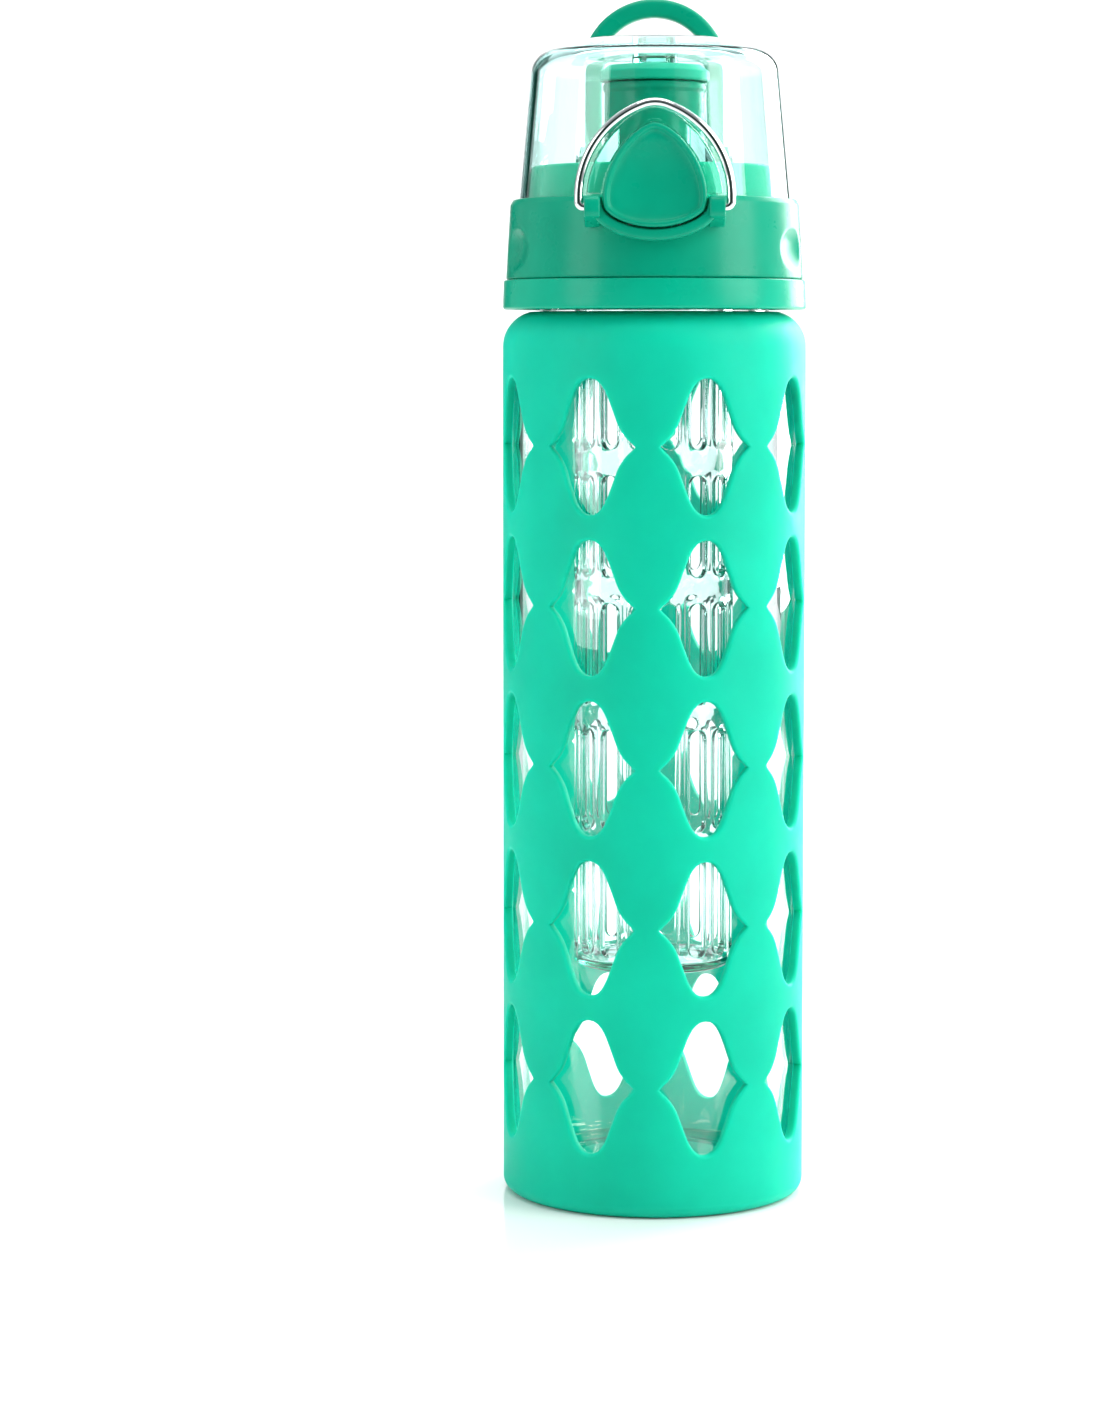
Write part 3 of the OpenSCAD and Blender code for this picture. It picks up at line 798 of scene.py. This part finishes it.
def springs():
    parts = []
    for s in (-1, 1):
        path = []
        n, per = 5.0, 40
        x0 = 4.35
        for k in range(9):
            t = k / 8
            path.append((s * x0, 33.6 - 1.9, 241.9 + (246 - 241.9) * t * 0.98))
        for i in range(int(n * per) + 1):
            a = pi + 2 * pi * i / per
            path.append((s * (x0 + 0.76 * i / per), 33.6 + 1.9 * math.cos(a), 246 + 1.9 * math.sin(-a)))
        parts.append(sweep("coil", path, 0.38, M_STEEL, sides=12))
    return join("hinge_coils", parts)


put(springs(), "hinge_springs", "lid")

dress("hinge_pin", M_STEEL)
dress("button_spring", M_STEEL)

# ------------------------------------------------------------------ infuser basket

def basket():
    R0, R1 = 18.7, 17.0
    zt = 69.1 + 4.5 * 29.6
    zb = 69.1 - 12.6
    quarter = [(2.1 * math.sin(rad(t)), 9.75 + 2.1 * math.cos(rad(t))) for t in range(0, 91, 10)] + [(2.1, 9.75 * (1 - k / 12)) for k in range(1, 13)]
    up = [(R0, zt), (R0, 215.0), (R0, 229.2), (R0 - 0.1, 229.6), (R0 - 0.4, 229.8), (R1 + 0.3, 229.8), (R1, 229.5), (R1, 216.0), (R1, zt)]
    dn = [(R1, zb), (R1 - 0.06, 56.2), (R1 - 0.3, 55.85), (R1 - 0.8, 55.7), (8, 55.7), (0, 55.7)]
    bt = [(R0, zb)] + bow(17.5, 55.1, 1.2, 0, -90, 6) + [(9, 53.9), (8.6, 54.15), (0, 54.2)]
    v, f = windowed(R0, R1, 5, 16, 29.6, 69.1, 0.0, quarter, 14, 3, 0.3, [up, dn, bt], low0=12.6, k_out=2, k_in=2, sub=1)
    tube = to_obj("basket_tube", v, f, M_BASKET, smooth=60)
    return join("basket_slotted", [tube, helix_ridge("basket_thread", 18.65, 20.1, 220.1, 3.0, 1.5, 1.6, 0.6, M_BASKET)])


put(basket(), "infuser_basket", "infuser")

# ------------------------------------------------------------------ dome
def dome():
    wall, top = 1.6, 271.0
    outp = [(0, 233.0), (31.7, 233.0, 0.3), (28.55, 267.2, 5.6), (17, 270.75, 6.0), (0, top)]
    inp = [(0, 232.0), (31.7 - wall + 0.1, 232.0), (28.6 - wall, 265.7, 4.2), (17, 269.15, 5.0), (0, top - wall)]
    body = lathe("dome_shell", outp, M_CLEAR, steps=192, closed=False, smooth=50, seg=10)
    shroud = prism_y("shroud", 3.7, -34.9, -20.0, M_CLEAR, ease=0.5)
    shroud = boolean(shroud, box_obj("under", (-26, -38, 210), (26, -17, 234.0), M_CLEAR, 0.02, 1), "DIFFERENCE")
    shroud = boolean(shroud, prism_y("room", 0.5, -41.0, -19.0, M_CLEAR), "DIFFERENCE")
    for g0, g1, y in ((1.15, 1.75, -34.3), (2.45, 3.05, -34.3)):
        groove = boolean(prism_y("groove_out", g1, -36.0, y, M_CLEAR), prism_y("groove_in", g0, -37.0, y + 1.0, M_CLEAR), "DIFFERENCE")
        shroud = boolean(shroud, groove, "DIFFERENCE")
    body = boolean(body, shroud, "UNION")
    neck = plate_x("neck", [(26, 243.6), (31.6, 243.6), (33.0, 243.4), (34.6, 243.5), (35.9, 244.6), (36.3, 246.2), (35.6, 247.8), (34.2, 248.7), (32.2, 250.2), (30.2, 253.8), (26, 256)], -3.5, 3.5, M_CLEAR, 0.4)
    body = boolean(body, neck, "UNION")
    inner = lathe("dome_inner", inp, M_CLEAR, steps=192, closed=False, smooth=50, seg=10)
    body = boolean(body, inner, "DIFFERENCE")
    boss = lathe("boss", [(0, 264.4), (5.3, 264.4, 0.3), (5.3, 270.0), (0, 270.0)], M_CLEAR, steps=64, closed=False)
    body = boolean(body, boss, "UNION")
    # tongue of the latch: a piece of the wall that reaches down, notched on both sides
    loops = []
    for k in range(17):
        x = -4.0 + 8.0 * k / 16
        loops.append([(x, -math.sqrt(31.65 ** 2 - x * x), 228.9), (x, -math.sqrt(31.65 ** 2 - x * x), 233.8), (x, -math.sqrt(30.15 ** 2 - x * x), 233.8), (x, -math.sqrt(30.15 ** 2 - x * x), 228.9)])
    body = boolean(body, loft("tongue", loops, M_CLEAR), "UNION")
    for lo, hi in (((-40, 2, 229), (40, 36, 241.9)), ((3.2, -36, 229.9), (6.2, -26, 232.2)), ((-6.2, -36, 229.9), (-3.2, -26, 232.2))):
        body = boolean(body, box_obj("cut", lo, hi, M_CLEAR, 0.02, 1), "DIFFERENCE")
    bore = lathe("bore", [(0, -20), (1.05, -20), (1.05, 20), (0, 20)], M_CLEAR, steps=48, closed=False)
    bore.data.transform(Matrix.Translation((0, 33.6 * MM, 246.0 * MM)) @ Matrix.Rotation(pi / 2, 4, "Y"))
    body = boolean(body, bore, "DIFFERENCE")
    bm = bmesh.new()
    bm.from_mesh(body.data)
    bmesh.ops.remove_doubles(bm, verts=bm.verts, dist=2e-6)
    for f in bm.faces:
        f.smooth = True
    for e in bm.edges:
        e.smooth = not (len(e.link_faces) == 2 and e.calc_face_angle(0) > rad(30))
    bm.to_mesh(body.data)
    bm.free()
    body.data.materials.clear()
    body.data.materials.append(M_CLEAR)
    for p in body.data.polygons:
        p.material_index = 0
    body.name = "dome_clear"
    return body


put(dome(), "dome", "dome")

seal = lathe("seal_cushion", [
    (0, 259.2), (5.6, 259.3, 1.0), (7.3, 260.9, 0.5), (12.75, 261.0, 0.6), (12.75, 263.3, 0.7), (10.6, 265.1, 1.2), (5.4, 266.2, 0.5), (5.4, 264.3), (0, 264.3)],
    M_SEAL, steps=128, closed=False, smooth=50)
put(seal, "spout_seal", "dome")


# ------------------------------------------------------------------ carry loop
def loop():
    Ro, band, hy, zc, hz, dep = 17.8, 4.5, 33.6, 265.6, 246.0, 2.3
    mid = Ro - band / 2
    # rounded-rectangle section: u across the band, v in depth
    sec = fillet([(-band / 2, -dep, 1.1), (band / 2, -dep, 1.3), (band / 2, dep, 1.3), (-band / 2, dep, 1.1)], True, 6)
    path = []
    for k in range(13):
        path.append((-mid, hz + 0.3 + (zc - hz - 0.3) * k / 12, -1.0, 0.0))
    for k in range(1, 64):
        a = pi - pi * k / 64
        path.append((mid * math.cos(a), zc + mid * math.sin(a), math.cos(a), math.sin(a)))
    for k in range(13):
        path.append((mid, zc - (zc - hz - 0.3) * k / 12, 1.0, 0.0))
    loops = []
    for x, z, nx, nz in path:
        loops.append([(x + nx * u, hy + v, z + nz * u) for u, v in sec])
    parts = [loft("loop_band", loops, M_GREEN, smooth=50)]
    for s in (-1, 1):
        prof = fillet([(1.05, 12.8), (2.85, 12.8, 0.4), (2.85, 19.2, 0.5), (1.05, 19.2, 0.2)], True, 4)
        st, verts, faces, m = 64, [], [], len(prof)
        for i in range(st):
            a = 2 * pi * i / st
            for r, x in prof:
                verts.append((s * x, hy + r * math.cos(a), hz + r * math.sin(a)))
        for i in range(st):
            j = (i + 1) % st
            for k in range(m):
                faces.append([i * m + k, j * m + k, j * m + (k + 1) % m, i * m + (k + 1) % m])
        parts.append(to_obj("eye", verts, faces, M_GREEN, 50))
    return join("loop_moulding", parts)


put(loop(), "carry_loop", "loop")


# ------------------------------------------------------------------ bail
def bail():
    bx, by, bz, top, rt = 17.1, -37.2, 230.7, 254.0, 8.0
    h = top - 233
    rf = (bx ** 2 + (h - rt) ** 2 - rt * rt) / (2 * (bx - rt))
    a = math.atan2(h - rt, rf - bx)
    half = [(0.0, top)]
    for k in range(1, 25):
        t = pi / 2 - (pi / 2 - a) * k / 24
        half.append((rt * math.cos(t), top - rt + rt * math.sin(t)))
    for k in range(1, 33):
        t = a * (1 - k / 32)
        half.append((bx - rf + rf * math.cos(t), 233 + rf * math.sin(t)))
    half += [(bx, 232.5), (bx, 232.1)]
    for k in range(1, 13):
        t = -pi / 2 * k / 12
        half.append((bx - 1.3 + 1.3 * math.cos(t), 232.0 + 1.3 * math.sin(t)))
    half += [(14.6, bz), (13.4, bz), (12.7, bz)]
    left = [(-x, by, z) for x, z in half[::-1]]
    right = [(x, by, z) for x, z in half[1:]]
    return sweep("bail_wire", left + right, 1.0, M_CHROME, sides=28)


put(bail(), "bail", "bail")


# ------------------------------------------------------------------ button
def button():
    n = 192
    # (inset, y): from the back, round the side, over the rim, down into the hollow
    seq = [(-0.4, -34.6), (-0.1, -34.7), (0.0, -35.0), (0.0, -37.7), (-0.08, -38.0), (-0.25, -38.22), (-0.5, -38.3), (-0.8, -38.3), (-1.05, -38.2), (-1.25, -37.95), (-1.4, -37.6), (-1.7, -37.42)]
    loops = []
    for g, y in seq:
        loops.append([(x, y, z) for x, z in tri(g, n)])
    zc = 236.25
    for k in range(1, 15):
        f = k / 15
        ring = []
        for x, z in tri(-1.9, n):
            X, Z = x * (1 - f), zc + (z - zc) * (1 - f)
            r = math.hypot(X, Z - zc)
            y = -37.4 + 1.0 * max(0.0, 1 - (r / 9.6) ** 2)
            ring.append((X, y, Z))
        loops.append(ring)
    face = loft("button_face", loops, M_GREEN, smooth=45)
    parts = [face]
    for s in (-1, 1):
        x0, x1 = (4.9, 6.0) if s > 0 else (-6.0, -4.9)
        parts.append(box_obj("arm", (x0, -34.8, 230.2), (x1, -30.5, 231.8), M_GREEN, 0.15, 2))
        x0, x1 = (4.3, 5.1) if s > 0 else (-5.1, -4.3)
        parts.append(box_obj("nose", (x0, -31.4, 230.2), (x1, -30.5, 231.8), M_GREEN, 0.12, 2))
    return join("button_moulding", parts)


put(button(), "button", "button")


# ------------------------------------------------------------------ stage, light, camera
scene = bpy.context.scene


def floor():
    bm = bmesh.new()
    # flat floor that sweeps up into a pale wall far behind
    prof = [(-2.6, 0.0), (1.2, 0.0)]
    for k in range(1, 17):
        a = -pi / 2 + pi / 2 * k / 16
        prof.append((1.2 + 0.9 * math.cos(a), 0.9 + 0.9 * math.sin(a)))
    prof.append((2.1, 3.2))
    xs = [-3.5, -1.2, 0.0, 1.2, 3.5]
    grid = [[bm.verts.new((x, y, z)) for y, z in prof] for x in xs]
    for i in range(len(xs) - 1):
        for k in range(len(prof) - 1):
            bm.faces.new([grid[i][k], grid[i + 1][k], grid[i + 1][k + 1], grid[i][k + 1]])
    for f in bm.faces:
        f.smooth = True
    me = bpy.data.meshes.new("floor_sweep")
    bm.to_mesh(me)
    bm.free()
    m, nt = new_mat("floor_pale")
    out = nt.nodes.new("ShaderNodeOutputMaterial")
    p = nt.nodes.new("ShaderNodeBsdfPrincipled")
    co = coords(nt)
    L(nt, mixcol(nt, ramp(nt, noise(nt, co, 3.0, 3.0), 0.3, 0.7, 0, 1), (0.86, 0.87, 0.88), (0.89, 0.90, 0.90)), p.inputs["Base Color"])
    L(nt, ramp(nt, noise(nt, co, 40.0, 3.0), 0.3, 0.7, 0.10, 0.16), p.inputs["Roughness"])
    p.inputs["Specular IOR Level"].default_value = 0.5
    L(nt, p.outputs[0], out.inputs[0])
    me.materials.append(m)
    o = bpy.data.objects.new("floor_sweep", me)
    scene.collection.objects.link(o)
    return o


floor()


def flag(name, x, y, z, w, h):
    """Dark card beside the set, out of the camera's view: it draws the dark lines along the edges of the clear parts."""
    o = box_obj(name, (-w / 2, -4, -h / 2), (w / 2, 4, h / 2), M_STEEL, 1.0, 1)
    m, nt = new_mat(name)
    out = nt.nodes.new("ShaderNodeOutputMaterial")
    p = nt.nodes.new("ShaderNodeBsdfPrincipled")
    L(nt, mixcol(nt, ramp(nt, noise(nt, coords(nt), 20.0, 3.0), 0.3, 0.7, 0, 1), (0.004, 0.02, 0.015), (0.006, 0.03, 0.022)), p.inputs["Base Color"])
    p.inputs["Roughness"].default_value = 0.9
    p.inputs["Specular IOR Level"].default_value = 0.0
    L(nt, p.outputs[0], out.inputs[0])
    o.data.materials.clear()
    o.data.materials.append(m)
    o.rotation_mode = "QUATERNION"
    o.location = (x, y, z)
    o.rotation_quaternion = (Vector((0, 0, z)) - Vector((x, y, z))).to_track_quat("Y", "Z")
    if o.name not in scene.collection.objects:
        scene.collection.objects.link(o)
    o.visible_camera = False


flag("flag_left", -0.74, 1.30, 0.50, 560, 1000)
flag("flag_right", 0.62, 1.30, 0.50, 560, 1000)
flag("flag_front", 0.0, -1.35, 0.40, 900, 700)


def area(name, loc, target, size, power, color=(1, 1, 1), size_y=None):
    d = bpy.data.lights.new(name, "AREA")
    d.energy = power
    d.color = color
    d.shape = "RECTANGLE"
    d.size = size
    d.size_y = size_y or size
    o = bpy.data.objects.new(name, d)
    o.location = loc
    o.rotation_mode = "QUATERNION"
    o.rotation_quaternion = (Vector(target) - Vector(loc)).to_track_quat("-Z", "Y")
    scene.collection.objects.link(o)
    return o


mid = (0, 0, 0.15)
area("key_right", (0.85, -0.35, 0.55), mid, 0.55, 11.0, (1.0, 0.99, 0.98), 0.9)
area("back_right", (0.65, 0.75, 0.5), mid, 0.6, 17.0, (1.0, 1.0, 1.0), 0.9)
area("fill_left", (-0.9, -0.6, 0.5), mid, 0.5, 6.0, (0.97, 0.99, 1.0), 0.9)
area("top_soft", (0.0, -0.1, 1.15), mid, 0.7, 5.0, (1.0, 1.0, 1.0), 0.7)
area("wall_glow", (0.0, 0.9, 1.6), (0, 2.1, 0.5), 1.6, 30.0, (1.0, 1.0, 1.0), 0.8)

w = bpy.data.worlds.new("studio")
scene.world = w
w.use_nodes = True
bg = w.node_tree.nodes.get("Background")
bg.inputs[0].default_value = (0.93, 0.97, 1.0, 1)
bg.inputs[1].default_value = 1.0
# the room: bright behind the bottle, dim in front of it
wt = w.node_tree
wco = wt.nodes.new("ShaderNodeTexCoord")
wsep = wt.nodes.new("ShaderNodeSeparateXYZ")
wt.links.new(wco.outputs["Generated"], wsep.inputs[0])
wr = wt.nodes.new("ShaderNodeMapRange")
wr.inputs["From Min"].default_value = -0.75
wr.inputs["From Max"].default_value = 0.35
wr.inputs["To Min"].default_value = 0.22
wr.inputs["To Max"].default_value = 0.95
wt.links.new(wsep.outputs["Y"], wr.inputs[0])
wt.links.new(wr.outputs[0], bg.inputs[1])

cam_data = bpy.data.cameras.new("camera")
cam = bpy.data.objects.new("camera", cam_data)
scene.collection.objects.link(cam)
cam.location = (-0.00208, -0.8595, 0.19967)
pitch, yaw = rad(3.998), rad(-1.53)
fw = Vector((math.sin(yaw) * math.cos(pitch), math.cos(yaw) * math.cos(pitch), -math.sin(pitch)))
cam.rotation_mode = "QUATERNION"
cam.rotation_quaternion = fw.to_track_quat("-Z", "Y")
cam_data.lens = 93.77
cam_data.sensor_width = 36.0
cam_data.sensor_fit = "AUTO"
cam_data.shift_y = -0.0713
cam_data.clip_start = 0.01
cam_data.clip_end = 20
scene.camera = cam
scene.view_settings.view_transform = "Standard"
scene.view_settings.look = "None"
scene.view_settings.exposure = 0.0
